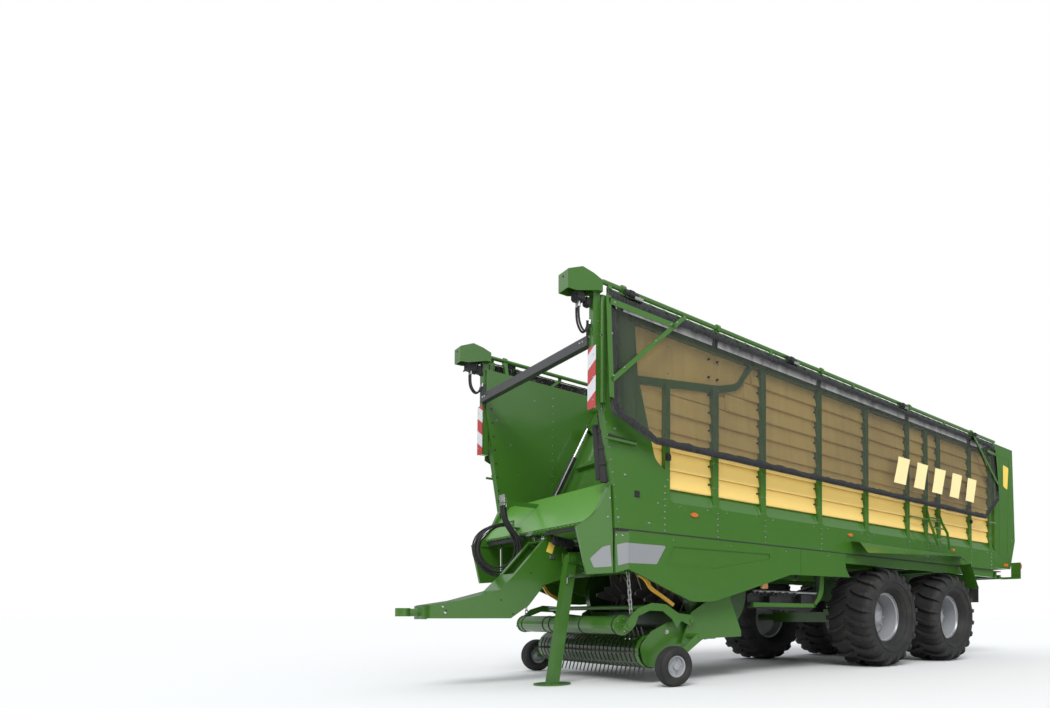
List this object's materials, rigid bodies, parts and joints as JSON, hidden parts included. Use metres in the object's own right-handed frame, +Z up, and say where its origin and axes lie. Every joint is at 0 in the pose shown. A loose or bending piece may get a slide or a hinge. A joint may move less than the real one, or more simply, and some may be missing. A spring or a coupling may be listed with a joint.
{
  "type": "vehicle_trailer",
  "caption": "Green loader wagon for forage with pickup, feed rotor, stepped side boards, tandem axles and nets that swing over the load",
  "frame": {"origin": "on the ground under the middle of the wagon's length and width", "axes": "+X towards the wagon's left side, -Y towards the drawbar, +Z up"},
  "size_m": [2.95, 10.244, 3.854],
  "materials": {
    "paint_green": "satin",
    "paint_light_green": "satin",
    "paint_yellow": "satin",
    "paint_dark": "satin",
    "paint_silver": "satin",
    "steel_bright": "brushed",
    "steel_worn": "rough",
    "rubber_black": "matte",
    "net_mesh": "matte",
    "lens_red": "gloss"
  },
  "bodies": {
    "root": {"side_frame_left": "paint_green", "side_frame_right": "paint_green", "wall_boards": "paint_yellow", "front_crossbar": "paint_dark", "floor_plate": "steel_worn", "scraper_floor": "steel_worn", "chassis": "paint_green", "front_frame": "paint_green", "feed_deck": "paint_green", "feed_channel": "steel_worn", "knife_bank": "steel_worn", "hood": "paint_light_green", "skirts": "paint_green", "fenders": "paint_green", "mudflaps": "rubber_black", "bogie": "paint_green", "roller_chains": "steel_worn", "warning_boards": "paint_light_green", "side_lamps": "paint_dark", "rear_lamps": "lens_red", "side_gear": "paint_green", "hose_holder": "steel_bright", "hose_couplings": "steel_bright", "hose_1": "rubber_black", "hose_2": "rubber_black", "hose_3": "rubber_black", "ladder": "paint_green"},
    "drawbar": {"drawbar": "paint_green", "hitch_coupling": "steel_bright"},
    "drawbar_barrels": {"drawbar_barrels": "paint_green"},
    "drawbar_rods": {"drawbar_rods": "steel_bright"},
    "support_leg": {"support_leg": "paint_green"},
    "pickup": {"pickup_frame": "paint_green"},
    "pickup_reel": {"pickup_reel": "steel_worn"},
    "roller_arms": {"roller_arms": "paint_green"},
    "press_roller": {"press_roller": "steel_worn"},
    "gauge_wheel_left": {"gauge_tyre_left": "rubber_black", "gauge_rim_left": "paint_silver"},
    "gauge_wheel_right": {"gauge_tyre_right": "rubber_black", "gauge_rim_right": "paint_silver"},
    "feed_rotor": {"feed_rotor": "steel_worn"},
    "front_wall": {"front_wall": "paint_light_green"},
    "wall_barrels": {"wall_barrels": "paint_green"},
    "wall_rods": {"wall_rods": "steel_bright"},
    "tailgate": {"tailgate": "paint_green"},
    "cover_left": {"cover_frame_left": "paint_green", "net_left": "net_mesh"},
    "cover_right": {"cover_frame_right": "paint_green", "net_right": "net_mesh"},
    "wheel_front_left": {"tyre_front_left": "rubber_black", "rim_front_left": "paint_silver"},
    "wheel_front_right": {"tyre_front_right": "rubber_black", "rim_front_right": "paint_silver"},
    "wheel_rear_left": {"tyre_rear_left": "rubber_black", "rim_rear_left": "paint_silver"},
    "wheel_rear_right": {"tyre_rear_right": "rubber_black", "rim_rear_right": "paint_silver"},
    "knuckle_left": {"knuckle_left": "paint_green"},
    "knuckle_right": {"knuckle_right": "paint_green"},
    "tie_rod": {"tie_rod": "paint_green"}
  },
  "joints": [
    {"name": "drawbar_height", "type": "hinge", "parent": "root", "child": "drawbar", "pos_m": [0, -3.356, 1.225], "axis": [1, 0, 0], "range_deg": [-12, 8]},
    {"name": "drawbar_barrel_swing", "type": "hinge", "parent": "root", "child": "drawbar_barrels", "pos_m": [0, -2.921, 1.3], "axis": [1, 0, 0], "range_deg": [-6.05, 4.03]},
    {"name": "drawbar_rod_stroke", "type": "slide", "parent": "drawbar_barrels", "child": "drawbar_rods", "axis": [0, -0.9656, 0.26], "range_m": [-0.04026, 0.02684]},
    {"name": "leg_fold", "type": "hinge", "parent": "root", "child": "support_leg", "pos_m": [0.38, -3.58, 1.291], "axis": [-1, 0, 0], "range_deg": [0, 80]},
    {"name": "pickup_lift", "type": "hinge", "parent": "root", "child": "pickup", "pos_m": [0, -2.126, 0.96], "axis": [-1, 0, 0], "range_deg": [0, 12], "deforming": ["roller_chains"]},
    {"name": "reel_turn", "type": "hinge", "parent": "pickup", "child": "pickup_reel", "pos_m": [0, -3.026, 0.33], "axis": [1, 0, 0], "continuous": true},
    {"name": "roller_lift", "type": "hinge", "parent": "pickup", "child": "roller_arms", "pos_m": [0, -2.591, 0.64], "axis": [-1, 0, 0], "range_deg": [0, 8]},
    {"name": "press_roller_turn", "type": "hinge", "parent": "roller_arms", "child": "press_roller", "pos_m": [0, -3.381, 0.6], "axis": [1, 0, 0], "continuous": true},
    {"name": "gauge_wheel_left_turn", "type": "hinge", "parent": "pickup", "child": "gauge_wheel_left", "pos_m": [1.402, -3.031, 0.198], "axis": [1, 0, 0], "continuous": true},
    {"name": "gauge_wheel_right_turn", "type": "hinge", "parent": "pickup", "child": "gauge_wheel_right", "pos_m": [-1.402, -3.031, 0.198], "axis": [1, 0, 0], "continuous": true},
    {"name": "rotor_turn", "type": "hinge", "parent": "root", "child": "feed_rotor", "pos_m": [0, -2.126, 0.96], "axis": [1, 0, 0], "continuous": true},
    {"name": "front_wall_swing", "type": "hinge", "parent": "root", "child": "front_wall", "pos_m": [0, -3.185, 1.56], "axis": [1, 0, 0], "range_deg": [0, 40]},
    {"name": "wall_barrel_swing", "type": "hinge", "parent": "root", "child": "wall_barrels", "pos_m": [0, -3.281, 1.65], "axis": [1, 0, 0], "range_deg": [0, 41.8]},
    {"name": "wall_rod_stroke", "type": "slide", "parent": "wall_barrels", "child": "wall_rods", "axis": [0, 0.4274, 0.9041], "range_m": [-0.07044, 0]},
    {"name": "tailgate_lift", "type": "hinge", "parent": "root", "child": "tailgate", "pos_m": [0, 4.359, 3.7], "axis": [1, 0, 0], "range_deg": [0, 85]},
    {"name": "cover_left_swing", "type": "hinge", "parent": "root", "child": "cover_left", "pos_m": [1.268, 0.242, 3.797], "axis": [0, -1, 0], "range_deg": [0, 255]},
    {"name": "cover_right_swing", "type": "hinge", "parent": "root", "child": "cover_right", "pos_m": [-1.268, 0.242, 3.797], "axis": [0, 1, 0], "range_deg": [0, 262]},
    {"name": "wheel_front_left_turn", "type": "hinge", "parent": "root", "child": "wheel_front_left", "pos_m": [1.12, 0.731, 0.68], "axis": [1, 0, 0], "continuous": true},
    {"name": "steer_left", "type": "hinge", "parent": "root", "child": "knuckle_left", "pos_m": [0.65, 2.452, 0.68], "axis": [0, 0, 1], "range_deg": [-10, 10]},
    {"name": "wheel_rear_left_turn", "type": "hinge", "parent": "knuckle_left", "child": "wheel_rear_left", "pos_m": [1.12, 2.452, 0.68], "axis": [1, 0, 0], "continuous": true},
    {"name": "wheel_front_right_turn", "type": "hinge", "parent": "root", "child": "wheel_front_right", "pos_m": [-1.12, 0.731, 0.68], "axis": [1, 0, 0], "continuous": true},
    {"name": "steer_right", "type": "hinge", "parent": "root", "child": "knuckle_right", "pos_m": [-0.65, 2.452, 0.68], "axis": [0, 0, 1], "range_deg": [-10, 10]},
    {"name": "wheel_rear_right_turn", "type": "hinge", "parent": "knuckle_right", "child": "wheel_rear_right", "pos_m": [-1.12, 2.452, 0.68], "axis": [1, 0, 0], "continuous": true},
    {"name": "tie_rod_shift", "type": "slide", "parent": "root", "child": "tie_rod", "axis": [1, 0, 0], "range_m": [-0.04363, 0.04363]}
  ],
  "couplings": [
    {"joint": "drawbar_barrel_swing", "follows": "drawbar_height", "ratio": 0.50424},
    {"joint": "drawbar_rod_stroke", "follows": "drawbar_height", "m_per_rad": 0.19223},
    {"joint": "wall_barrel_swing", "follows": "front_wall_swing", "ratio": 1.045},
    {"joint": "wall_rod_stroke", "follows": "front_wall_swing", "m_per_rad": -0.1009},
    {"joint": "steer_right", "follows": "steer_left", "ratio": 1},
    {"joint": "tie_rod_shift", "follows": "steer_left", "m_per_rad": -0.25}
  ]
}
